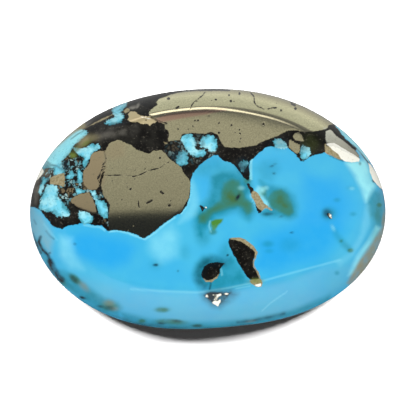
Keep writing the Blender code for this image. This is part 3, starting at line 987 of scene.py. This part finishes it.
# The noises that the material draws on: their size, detail, roughness and shift.
NOISES = {
    "wobble": (0.42 * MM, 3.0, 0.6, 0.0),
    "fine": (0.16 * MM, 2.0, 0.6, 0.031),
    "broad": (3.2 * MM, 3.0, 0.5, 0.017),
    "cloud": (1.1 * MM, 3.0, 0.55, 0.023),
    "grain": (0.11 * MM, 2.0, 0.7, 0.041),
    "fleck": (0.20 * MM, 3.0, 0.7, 0.053),
}

# Each body's edge: how far it strays and how wide it is, in millimetres, and how much of the
# fine noise it takes for each part of the coarse. The pyrite's shine reaches a little wider.
EDGES = {
    "matrix": (0.20, 0.07, 0.7),
    "cyan": (0.34, 0.10, 1.2),
    "rock": (0.14, 0.08, 0.7),
    "pyrite": (0.18, 0.06, 1.0),
    "cream": (0.12, 0.07, 0.7),
}
SHINE_WIDER = 0.03

# How unevenly clouds break up each soft mark, and its colour where it has but one.
SOFT_MARK_LOOKS = {
    "deep": (0.1, DEEP_BLUE),
    "grey": (0.2, SHOULDER_SHEEN_BLUE),
    "teal": (0.2, TEAL),
    "green": (0.2, None),
    "leaf": (0.3, LEAF_GREEN),
    "pale_and_sheen": (0.2, PALE_AND_HIGHLIGHT),
    "matrix_sheen": (0.7, MATRIX_SHEEN),
    "broken": (0.3, None),
    "tan": (0.2, TAN),
    "dark": (0.35, DARK),
    "moss": (0.4, MOSS),
}
CLOUD_RANGE = (0.3, 0.7)
CYAN_PALE_UNEVENNESS = 0.3

# Where one value, a noise or a field, turns into another: its range, then the shares that the
# range's ends stand for, unless those are 0 and 1.
RANGES = {
    "light blue": (0.35, 0.65),
    "green": (0.0, 0.6),
    "olive": (0.5, 1.0),
    "light matrix": (0.42, 0.70),
    "flecks": (0.57, 0.72, 0.0, 0.75),
    "inside a grain": (0.06, 0.16),
    "cyan depth": (0.0, 0.34),
    "cyan white": (0.48, 0.68),
    "cyan flecks": (0.56, 0.68, 0.0, 0.7),
    "rock shade": (0.4, 0.6),
    "gap": (-0.06, 0.0),
    "gap in pyrite": (-0.10, 0.10),
    "dot size": (0.55, 1.0, 0.0, 0.13),
    "pyrite grain": (0.35, 0.65),
    "pyrite shade": (0.35, 0.65, 0.25, 0.0),
    "gold in brown": (0.0, 1.0, 1.0, 0.4),
    "cream shade": (0.60, 0.74),
}

# How strongly some things show.
SCRATCH_AND_HIGHLIGHT_SHARE = 0.6
DOT_SHARE = 0.75
BROWN_SHARE = 0.85
SPECK_SHARE = 0.55
DULL_SHARE = 0.75

# Grains in broken ground: their size, how far they are dragged out of shape, and which of them
# have a colour, told by the range of one channel of their random colour.
GRAIN_SIZE = 0.31 * MM
SWIRL = 0.7 * MM
SWIRL_SIZE = 0.6 * MM
GRAINS = (
    ("Green", (0.62, 0.68), GRAIN_BROWN),
    ("Red", (0.50, 0.56), GRAIN_TEAL),
    ("Blue", (0.78, 0.84), GRAIN_PALE),
)
DOT_SPACING = 0.62 * MM

# How much noise strays into the cyan's depth and into the gaps' edges, in millimetres.
CYAN_WOBBLE = 1.1
GAP_FINE = 0.10
GAP_WOBBLE = 0.16

# The polish: roughness and specular level on the hard bodies, then on the matrix.
ROUGHNESS = (0.10, 0.34)
SPECULAR = (0.28, 0.12)

# The bump, for which gaps lie low and the matrix is grainy.
BUMP_GAP = -0.12
BUMP_FLECK = 0.10
BUMP_GRAIN = 0.02
BUMP_STRENGTH = 0.25
BUMP_DISTANCE = 0.04 * MM


def stone_material():
    """Polished turquoise with dark matrix and pyrite, told apart by the surface's attributes."""
    material = bpy.data.materials.new("polished_turquoise_face")
    material.use_nodes = True
    tree = material.node_tree
    paint = Painter(tree)
    product, total, most, least = paint.product, paint.total, paint.most, paint.least
    place = paint.add("ShaderNodeTexCoord").outputs["Object"]
    noises = {name: paint.noise(place, *settings) for name, settings in NOISES.items()}
    cloud, grain, fleck = noises["cloud"], noises["grain"], noises["fleck"]
    wobble = paint.math("SUBTRACT", noises["wobble"], 0.5)
    fine = paint.math("SUBTRACT", noises["fine"], 0.5)

    def between(value, name):
        return paint.between(value, *RANGES[name])

    def edge(name, wider=0.0):
        """0 outside a body and 1 inside, with an uneven edge."""
        rough, width, fine_share = EDGES[name]
        value = total(paint.field(name), total(product(wobble, rough), wider))
        value = total(value, product(fine, rough * fine_share))
        return paint.between(value, -width / 2, width / 2)

    def soft_mark(name, unevenness):
        """A soft mark's strength, broken up by clouds."""
        uneven = paint.between(cloud, *CLOUD_RANGE, 1 - unevenness, 1 + unevenness)
        sockets = {0: paint.field(name), 1: uneven}
        return paint.add("ShaderNodeMath", sockets, operation="MULTIPLY", use_clamp=True).outputs[0]

    def under_soft_marks(colour, *names):
        """A colour under these soft marks, the last of them on top."""
        for name in names:
            unevenness, pigment_colour = SOFT_MARK_LOOKS[name]
            colour = paint.mix(soft_mark(name, unevenness), colour, pigment_colour)
        return colour

    colour = paint.mix(between(noises["broad"], "light blue"), BLUE, BLUE_LIGHT)
    # The grey mark is a painted reflection on the shoulders.
    colour = under_soft_marks(colour, "deep", "grey", "teal")
    greens = soft_mark("green", SOFT_MARK_LOOKS["green"][0])
    colour = paint.mix(between(greens, "green"), colour, GREEN)
    colour = paint.mix(between(greens, "olive"), colour, OLIVE)
    # The pale mark is partly painted highlight.
    colour = under_soft_marks(colour, "leaf", "pale_and_sheen")
    # A painted highlight along the foot of the table, and scratches, in the pale colour.
    colour = paint.mix(product(paint.field("scratches_and_highlight"), SCRATCH_AND_HIGHLIGHT_SHARE), colour, PALE_AND_HIGHLIGHT)

    matrix = edge("matrix")
    flecks = between(fleck, "flecks")
    matrix_colour = paint.mix(between(cloud, "light matrix"), MATRIX, MATRIX_LIGHT)
    matrix_colour = paint.mix(flecks, matrix_colour, MATRIX_FLECK)
    # Painted reflection on the matrix.
    matrix_colour = under_soft_marks(matrix_colour, "matrix_sheen")
    sockets = {"Vector": place, "Scale": 1 / SWIRL_SIZE, "Detail": 2.0}
    swirl = paint.add("ShaderNodeTexNoise", sockets).outputs["Color"]
    sockets = {0: swirl, 1: (SWIRL, SWIRL, SWIRL), 2: place}
    bent = paint.add("ShaderNodeVectorMath", sockets, operation="MULTIPLY_ADD").outputs[0]
    grains = paint.cells(bent, GRAIN_SIZE, "F1")
    borders = paint.cells(bent, GRAIN_SIZE, "DISTANCE_TO_EDGE")
    pick = paint.add("ShaderNodeSeparateColor", {0: grains.outputs["Color"]})
    in_grain = between(borders.outputs["Distance"], "inside a grain")
    broken = soft_mark("broken", SOFT_MARK_LOOKS["broken"][0])
    for channel, limits, grain_colour in GRAINS:
        picked = product(in_grain, paint.between(pick.outputs[channel], *limits))
        matrix_colour = paint.mix(product(broken, picked), matrix_colour, grain_colour)
    colour = paint.mix(matrix, colour, matrix_colour)

    cyan = edge("cyan")
    cyan_depth = total(paint.field("cyan"), product(wobble, CYAN_WOBBLE))
    cyan_colour = paint.mix(between(cyan_depth, "cyan depth"), CYAN_SHADE, CYAN)
    cyan_colour = paint.mix(between(cloud, "cyan white"), cyan_colour, CYAN_WHITE)
    # The pale mark, partly painted highlight, also lightens the cyan.
    cyan_colour = paint.mix(soft_mark("pale_and_sheen", CYAN_PALE_UNEVENNESS), cyan_colour, PALE_AND_HIGHLIGHT)
    cyan_colour = paint.mix(between(fleck, "cyan flecks"), cyan_colour, CYAN_SHADE)
    colour = paint.mix(cyan, colour, cyan_colour)
    # The dark marks include painted shade along the foot and the lower left rim.
    colour = under_soft_marks(colour, "tan", "dark")
    rock_colour = paint.mix(between(fleck, "rock shade"), ROCK, ROCK_SHADE)
    colour = paint.mix(edge("rock"), colour, rock_colour)
    colour = under_soft_marks(colour, "moss")

    gap = total(paint.field("gap"), total(product(fine, GAP_FINE), product(wobble, GAP_WOBBLE)))
    gap = between(gap, "gap")
    dots = paint.cells(place, DOT_SPACING, "F1")
    dot_pick = paint.add("ShaderNodeSeparateColor", {0: dots.outputs["Color"]})
    dot_size = between(dot_pick.outputs["Blue"], "dot size")
    dot = paint.math("LESS_THAN", dots.outputs["Distance"], dot_size)
    gap = most(gap, product(dot, DOT_SHARE))
    gap = product(gap, between(paint.field("pyrite"), "gap in pyrite"))

    cream = edge("cream")
    mineral = most(edge("pyrite"), cream)
    gold = paint.field("gold")
    # Cream and gold are dulled, so that their painted highlight and reflection show as colour.
    dull = product(most(cream, gold), DULL_SHARE)
    shine = product(paint.math("SUBTRACT", 1.0, gap), paint.math("SUBTRACT", 1.0, dull))
    metal = product(edge("pyrite", SHINE_WIDER), shine)
    brown = paint.field("brown")
    pyrite_colour = paint.mix(between(grain, "pyrite grain"), PYRITE_SHADE, PYRITE)
    pyrite_colour = paint.mix(between(cloud, "pyrite shade"), pyrite_colour, PYRITE_SHADE)
    pyrite_colour = paint.mix(product(brown, BROWN_SHARE), pyrite_colour, PYRITE_BROWN)
    # Painted reflection: the dark band below the crease's bright line.
    pyrite_colour = paint.mix(paint.field("red"), pyrite_colour, PYRITE_REFLECTED_RED)
    pyrite_colour = paint.mix(paint.field("silver"), pyrite_colour, PYRITE_SILVER)
    # The gold piece painted lighter for its shine.
    pyrite_colour = paint.mix(product(gold, between(brown, "gold in brown")), pyrite_colour, GOLD)
    pyrite_colour = paint.mix(product(flecks, SPECK_SHARE), pyrite_colour, PYRITE_SPECK)
    cream_colour = paint.mix(between(fleck, "cream shade"), CREAM, CREAM_SHADE)
    pyrite_colour = paint.mix(cream, pyrite_colour, cream_colour)
    colour = paint.mix(mineral, colour, pyrite_colour)
    colour = paint.mix(gap, colour, GAP_COLOUR)

    on_matrix = paint.between(matrix, 0.0, 1.0, *ROUGHNESS)
    on_bodies = paint.between(most(mineral, cyan), 0.0, 1.0, *reversed(ROUGHNESS))
    roughness = least(on_matrix, on_bodies)
    height = total(product(gap, BUMP_GAP), product(matrix, product(fleck, BUMP_FLECK)))
    height = total(height, product(grain, BUMP_GRAIN))
    sockets = {"Strength": BUMP_STRENGTH, "Distance": BUMP_DISTANCE, "Height": height}
    links = {
        "Base Color": colour,
        "Metallic": metal,
        "Roughness": roughness,
        "Specular IOR Level": paint.between(roughness, *ROUGHNESS, *SPECULAR),
        "Normal": paint.add("ShaderNodeBump", sockets).outputs["Normal"],
    }
    for name, socket in links.items():
        tree.links.new(socket, tree.nodes["Principled BSDF"].inputs[name])
    return material


# The surroundings that the polish reflects, from the south horizon over the top to the north
# one: the angle from the zenith towards the north in degrees, and the light's red, green and
# blue there.
SKY = (
    (-130.0, 0.20, 0.20, 0.20),
    (-112.0, 0.50, 0.50, 0.50),
    (-95.0, 2.0, 2.0, 2.0),
    (-50.0, 2.0, 2.0, 2.0),
    (-40.0, 0.06, 0.06, 0.07),
    (4.9, 0.034, 0.041, 0.060),
    (5.6, 0.07, 0.08, 0.10),
    (7.2, 0.49, 0.49, 0.49),
    (37.7, 0.66, 0.66, 0.66),
    (38.7, 0.20, 0.21, 0.25),
    (58.0, 0.20, 0.21, 0.25),
    (74.0, 0.34, 0.35, 0.40),
    (79.0, 0.82, 0.86, 0.88),
    (100.0, 0.91, 0.96, 0.99),
    (114.0, 1.10, 1.14, 1.15),
    (134.0, 0.70, 0.70, 0.70),
)
SKY_BELOW = (0.15, 0.15, 0.15, 1.0)

# Towards the east the panels' edges drop: by how many degrees for a direction whose X is one,
# and by how many at most.
SKY_TILT = 29.0
SKY_TILT_MOST = 6.0

# Far to the east and west the sky is an even grey. The range of X where it turns so, the range
# of Z where it brightens, and its levels below and above.
SIDE_FROM = (0.40, 0.70)
SIDE_RISE = (-0.55, -0.10)
SIDE_LEVELS = (0.40, 0.60)

# A narrow lamp in the north, which the edge of the table reflects as a bright line. It leans
# like the panels, from a little west of the middle on, and ends in the east.
STRIP_FROM = 59.0
STRIP_TO = 71.0
STRIP_BLUR = 1.0
STRIP_MIDDLE = 0.01
STRIP_TILT = 150.0
STRIP_TILT_MOST = 20.0
STRIP_END = (0.05, 0.32)
STRIP_GLOW = (2.64, 2.55, 2.7, 1.0)

# What matt surfaces and the camera see of the sky.
SKY_FILL = (0.003, 0.003, 0.003, 1.0)
BACKDROP = (1.0, 1.0, 1.0, 1.0)

# The lamps stand this far off. Each has its azimuth from the north towards the east, its
# elevation, its length, its width and its light. Those of the stone light nothing else. Those
# of the floor are so bright that a shadow shows only where both are hidden.
LAMP_AWAY = 350 * MM
STONE_LAMPS = {
    "key": (0, 60, 160 * MM, 80 * MM, 0.85),
    "south_fill": (180, 25, 240 * MM, 160 * MM, 0.95),
    "west_fill": (275, 18, 200 * MM, 160 * MM, 0.62),
    "east_fill": (85, 18, 200 * MM, 160 * MM, 0.58),
}
FLOOR_LAMPS = {
    "floor_west": (300, 31, 90 * MM, 45 * MM, 2.5),
    "floor_east": (60, 31, 90 * MM, 45 * MM, 2.5),
}

FLOOR_SIZE = 4.0
FLOOR_COLOUR = (0.95, 0.95, 0.95, 1.0)


def build_sky():
    """A world that the polish sees as soft panels, dark between them, and the rest as an even glow."""
    world = bpy.data.worlds.new("studio")
    bpy.context.scene.world = world
    world.use_nodes = True
    tree = world.node_tree
    tree.nodes.clear()
    paint = Painter(tree)
    direction = paint.add("ShaderNodeTexCoord").outputs["Generated"]
    axes = paint.add("ShaderNodeSeparateXYZ", {0: direction})
    angle = paint.math("ARCTAN2", axes.outputs["Y"], axes.outputs["Z"])
    degrees = paint.product(angle, 360 / math.tau)
    tilt = paint.least(paint.product(paint.most(axes.outputs["X"], 0.0), SKY_TILT), SKY_TILT_MOST)
    share = paint.total(paint.math("DIVIDE", paint.total(degrees, tilt), 360.0), 0.5)
    panels = paint.add("ShaderNodeValToRGB", {"Fac": share})
    stops = panels.color_ramp.elements
    for stop, position in zip(stops, (0.0, 1.0)):
        stop.position = position
        stop.color = SKY_BELOW
    for degree, *colour in SKY:
        stops.new(degree / 360 + 0.5).color = (*colour, 1.0)
    slant = paint.product(paint.total(axes.outputs["X"], STRIP_MIDDLE), STRIP_TILT)
    slant = paint.least(paint.most(slant, 0.0), STRIP_TILT_MOST)
    across = paint.total(degrees, slant)
    rising = paint.between(across, STRIP_FROM - STRIP_BLUR, STRIP_FROM + STRIP_BLUR)
    falling = paint.between(across, STRIP_TO - STRIP_BLUR, STRIP_TO + STRIP_BLUR, 1.0, 0.0)
    fading = paint.between(axes.outputs["X"], *STRIP_END, 1.0, 0.0)
    strip = paint.product(paint.product(rising, falling), fading)
    glow = paint.mix(strip, panels.outputs["Color"], STRIP_GLOW)
    aside = paint.math("ABSOLUTE", axes.outputs["X"])
    side_level = paint.between(axes.outputs["Z"], *SIDE_RISE, *SIDE_LEVELS)
    glow = paint.mix(paint.between(aside, *SIDE_FROM), glow, paint.grey(side_level))
    path = paint.add("ShaderNodeLightPath")
    glow = paint.mix(path.outputs["Is Diffuse Ray"], glow, SKY_FILL)
    glow = paint.mix(path.outputs["Is Camera Ray"], glow, BACKDROP)
    background = paint.add("ShaderNodeBackground", {"Color": glow})
    output = paint.add("ShaderNodeOutputWorld")
    tree.links.new(background.outputs[0], output.inputs["Surface"])


def build_lamp(name, azimuth, elevation, length, width, light):
    """A lamp aimed at the stone, which lights what faces it as light times a white sky would."""
    lamp = bpy.data.lights.new(name, "AREA")
    lamp.shape = "RECTANGLE"
    lamp.size, lamp.size_y = length, width
    lamp.energy = light * math.pi**2 * LAMP_AWAY**2
    holder = bpy.data.objects.new(name, lamp)
    azimuth, elevation = math.radians(azimuth), math.radians(elevation)
    level = math.cos(elevation)
    towards = Vector((level * math.sin(azimuth), level * math.cos(azimuth), math.sin(elevation)))
    holder.location = towards * LAMP_AWAY
    holder.rotation_mode = "QUATERNION"
    holder.rotation_quaternion = towards.to_track_quat("Z", "Y")
    holder.visible_glossy = False
    holder.visible_camera = False
    bpy.context.scene.collection.objects.link(holder)
    return holder


def light_only(lamp, lit):
    """Keep a lamp's light to one object."""
    receivers = bpy.data.collections.new("lit_by_" + lamp.name)
    receivers.objects.link(lit)
    lamp.light_linking.receiver_collection = receivers


def build_lamps(stone, floor):
    for lit, lamps in ((stone, STONE_LAMPS), (floor, FLOOR_LAMPS)):
        for name, settings in lamps.items():
            light_only(build_lamp(name, *settings), lit)


def build_floor():
    mesh = bpy.data.meshes.new("floor")
    half = FLOOR_SIZE / 2
    corners = [(-half, -half, 0.0), (half, -half, 0.0), (half, half, 0.0), (-half, half, 0.0)]
    mesh.from_pydata(corners, [], [(0, 1, 2, 3)])
    material = bpy.data.materials.new("white_floor")
    material.use_nodes = True
    shader = material.node_tree.nodes["Principled BSDF"]
    shader.inputs["Base Color"].default_value = FLOOR_COLOUR
    shader.inputs["Roughness"].default_value = 1.0
    shader.inputs["Specular IOR Level"].default_value = 0.0
    mesh.materials.append(material)
    floor = bpy.data.objects.new("floor", mesh)
    floor.location.z = NODE_LOW.z
    floor.visible_glossy = False
    floor.visible_diffuse = False
    bpy.context.scene.collection.objects.link(floor)
    return floor


def build_camera():
    lens = bpy.data.cameras.new("camera")
    lens.lens = CAMERA_LENS
    lens.sensor_width = CAMERA_SENSOR
    lens.clip_start, lens.clip_end = CAMERA_CLIP
    camera = bpy.data.objects.new("camera", lens)
    camera.location = CAMERA_PLACE
    camera.rotation_mode = "QUATERNION"
    camera.rotation_quaternion = CAMERA_BACK.to_track_quat("Z", "Y")
    bpy.context.scene.collection.objects.link(camera)
    bpy.context.scene.camera = camera


build_camera()
stone = build_stone()
stone.data.materials.append(stone_material())
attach(stone, "root")
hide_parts(NODE)
build_sky()
build_lamps(stone, build_floor())
bpy.context.scene.view_settings.view_transform = "Standard"
